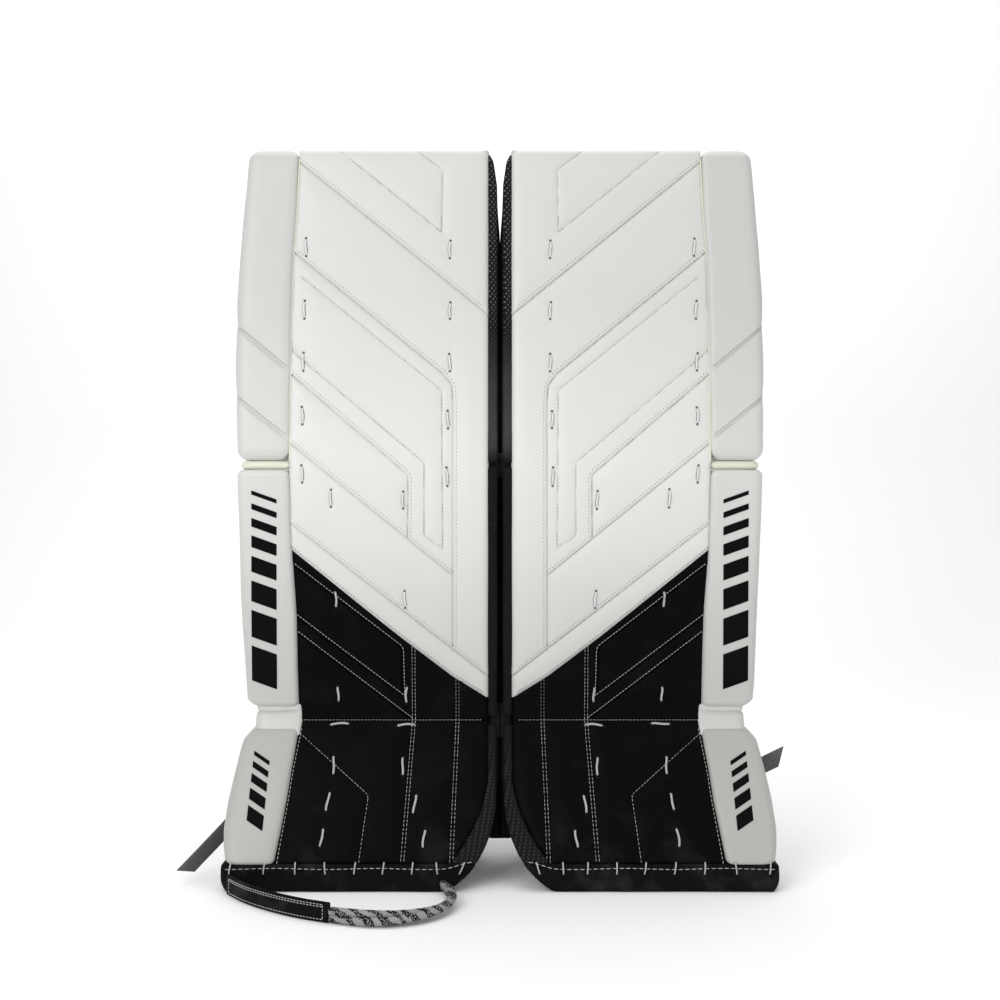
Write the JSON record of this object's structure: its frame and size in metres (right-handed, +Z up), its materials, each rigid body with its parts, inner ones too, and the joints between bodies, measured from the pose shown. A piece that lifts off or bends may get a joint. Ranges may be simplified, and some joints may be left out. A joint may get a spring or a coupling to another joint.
{
  "type": "goalie leg pads",
  "caption": "Pair of goalie leg pads with quilted faces, outer rolls, calf and knee wraps, boot channels and toe straps.",
  "frame": {"origin": "middle of the base of the standing pair, on the surface it rests on, without the toe cords", "axes": "+Z up along the shins, -Y the way the faces look, +X from the wearer's right pad to the left pad"},
  "size_m": [0.664, 0.3665, 0.812],
  "materials": {
    "white_leather": "smooth white synthetic leather, satin",
    "black_leather": "fine grained black synthetic leather, soft gloss",
    "foam": "closed-cell foam board, hidden",
    "side_mesh": "open black mesh over padding",
    "knit_liner": "brushed knit lining, matte",
    "wrap_cover": "woven nylon over foam, matte",
    "webbing": "grey woven webbing",
    "buckle_plastic": "moulded black plastic, fine matte texture",
    "lace": "waxed flat lace",
    "knit_cord": "braided elastic cord, light and dark yarn"
  },
  "bodies": {
    "right_shin": {"right_shin_face": "white_leather", "right_shin_core": "foam", "right_shin_roll": "white_leather", "right_shin_side": "side_mesh", "right_shin_lacing": "lace", "right_leg_cradle": "knit_liner", "right_ankle_band": "white_leather"},
    "right_thigh": {"right_thigh_face": "white_leather", "right_thigh_core": "foam", "right_thigh_liner": "knit_liner", "right_thigh_roll": "white_leather", "right_thigh_side": "side_mesh", "right_thigh_lacing": "lace", "right_knee_stack": "wrap_cover"},
    "right_boot": {"right_boot_face": "black_leather", "right_boot_core": "foam", "right_boot_roll": "white_leather", "right_boot_side": "side_mesh", "right_boot_lacing": "lace", "right_toe_binding": "black_leather", "right_boot_strap": "webbing", "right_boot_buckle": "buckle_plastic"},
    "right_knee_wing": {"right_knee_wing": "wrap_cover", "right_knee_strap": "webbing"},
    "right_calf_wrap_outer": {"right_calf_wrap_outer": "wrap_cover", "right_calf_strap": "webbing"},
    "right_calf_wrap_inner": {"right_calf_wrap_inner": "wrap_cover"},
    "right_boot_strap_end": {"right_boot_strap_end": "webbing"},
    "right_toe_strap": {"right_toe_tab": "black_leather", "right_toe_cord": "knit_cord"},
    "left_shin": {"left_shin_face": "white_leather", "left_shin_core": "foam", "left_shin_roll": "white_leather", "left_shin_side": "side_mesh", "left_shin_lacing": "lace", "left_leg_cradle": "knit_liner", "left_ankle_band": "white_leather"},
    "left_thigh": {"left_thigh_face": "white_leather", "left_thigh_core": "foam", "left_thigh_liner": "knit_liner", "left_thigh_roll": "white_leather", "left_thigh_side": "side_mesh", "left_thigh_lacing": "lace", "left_knee_stack": "wrap_cover"},
    "left_boot": {"left_boot_face": "black_leather", "left_boot_core": "foam", "left_boot_roll": "white_leather", "left_boot_side": "side_mesh", "left_boot_lacing": "lace", "left_toe_binding": "black_leather", "left_boot_strap": "webbing", "left_boot_buckle": "buckle_plastic"},
    "left_knee_wing": {"left_knee_wing": "wrap_cover", "left_knee_strap": "webbing"},
    "left_calf_wrap_outer": {"left_calf_wrap_outer": "wrap_cover", "left_calf_strap": "webbing"},
    "left_calf_wrap_inner": {"left_calf_wrap_inner": "wrap_cover"},
    "left_boot_strap_end": {"left_boot_strap_end": "webbing"},
    "left_toe_strap": {"left_toe_tab": "black_leather", "left_toe_cord": "knit_cord"}
  },
  "joints": [
    {"name": "right_knee_flex", "type": "hinge", "parent": "right_shin", "child": "right_thigh", "pos_m": [-0.11437, 0.00902, 0.45], "axis": [1, 0, 0], "range_deg": [-10, 18], "stiffness_Nm_per_rad": 30},
    {"name": "right_ankle_flex", "type": "hinge", "parent": "right_shin", "child": "right_boot", "pos_m": [-0.11437, 0.01302, 0.164], "axis": [-1, 0, 0], "range_deg": [-5, 20], "stiffness_Nm_per_rad": 80},
    {"name": "right_knee_wing_open", "type": "hinge", "parent": "right_thigh", "child": "right_knee_wing", "pos_m": [-0.21581, 0.07744, 0.52], "axis": [0, 0, 1], "range_deg": [0, 90]},
    {"name": "right_calf_wrap_open", "type": "hinge", "parent": "right_shin", "child": "right_calf_wrap_outer", "pos_m": [-0.21581, 0.07044, 0.32], "axis": [0, 0, 1], "range_deg": [0, 95]},
    {"name": "right_calf_wrap_inner_open", "type": "hinge", "parent": "right_shin", "child": "right_calf_wrap_inner", "pos_m": [-0.01993, 0.07044, 0.32], "axis": [0, 0, -1], "range_deg": [0, 36]},
    {"name": "right_boot_strap_end_swing", "type": "hinge", "parent": "right_boot", "child": "right_boot_strap_end", "pos_m": [-0.23287, 0.04102, 0.086], "axis": [0, 0, -1], "range_deg": [-5, 45]},
    {"name": "left_knee_flex", "type": "hinge", "parent": "left_shin", "child": "left_thigh", "pos_m": [0.13463, 0.00902, 0.45], "axis": [1, 0, 0], "range_deg": [-10, 18], "stiffness_Nm_per_rad": 30},
    {"name": "left_ankle_flex", "type": "hinge", "parent": "left_shin", "child": "left_boot", "pos_m": [0.13463, 0.01302, 0.164], "axis": [-1, 0, 0], "range_deg": [-5, 20], "stiffness_Nm_per_rad": 80},
    {"name": "left_knee_wing_open", "type": "hinge", "parent": "left_thigh", "child": "left_knee_wing", "pos_m": [0.23607, 0.07744, 0.52], "axis": [0, 0, -1], "range_deg": [0, 90]},
    {"name": "left_calf_wrap_open", "type": "hinge", "parent": "left_shin", "child": "left_calf_wrap_outer", "pos_m": [0.23607, 0.07044, 0.32], "axis": [0, 0, -1], "range_deg": [0, 95]},
    {"name": "left_calf_wrap_inner_open", "type": "hinge", "parent": "left_shin", "child": "left_calf_wrap_inner", "pos_m": [0.04019, 0.07044, 0.32], "axis": [0, 0, 1], "range_deg": [0, 36]},
    {"name": "left_boot_strap_end_swing", "type": "hinge", "parent": "left_boot", "child": "left_boot_strap_end", "pos_m": [0.25313, 0.04102, 0.086], "axis": [0, 0, 1], "range_deg": [-5, 45]},
    {"name": "right_toe_strap_lift", "type": "hinge", "parent": "right_boot", "child": "right_toe_strap", "pos_m": [-0.11437, -0.07898, 0.021], "axis": [-1, 0, 0], "range_deg": [0, 75]},
    {"name": "left_toe_strap_lift", "type": "hinge", "parent": "left_boot", "child": "left_toe_strap", "pos_m": [0.13463, -0.02298, 0.021], "axis": [1, 0, 0], "range_deg": [0, 28]},
    {"name": "pads_part", "type": "slide", "parent": "right_shin", "child": "left_shin", "axis": [1, 0, 0], "range_m": [0, 0.3]}
  ],
  "couplings": [
    {"joint": "right_calf_wrap_inner_open", "follows": "right_calf_wrap_open", "ratio": 0.37},
    {"joint": "left_calf_wrap_inner_open", "follows": "left_calf_wrap_open", "ratio": 0.37}
  ]
}
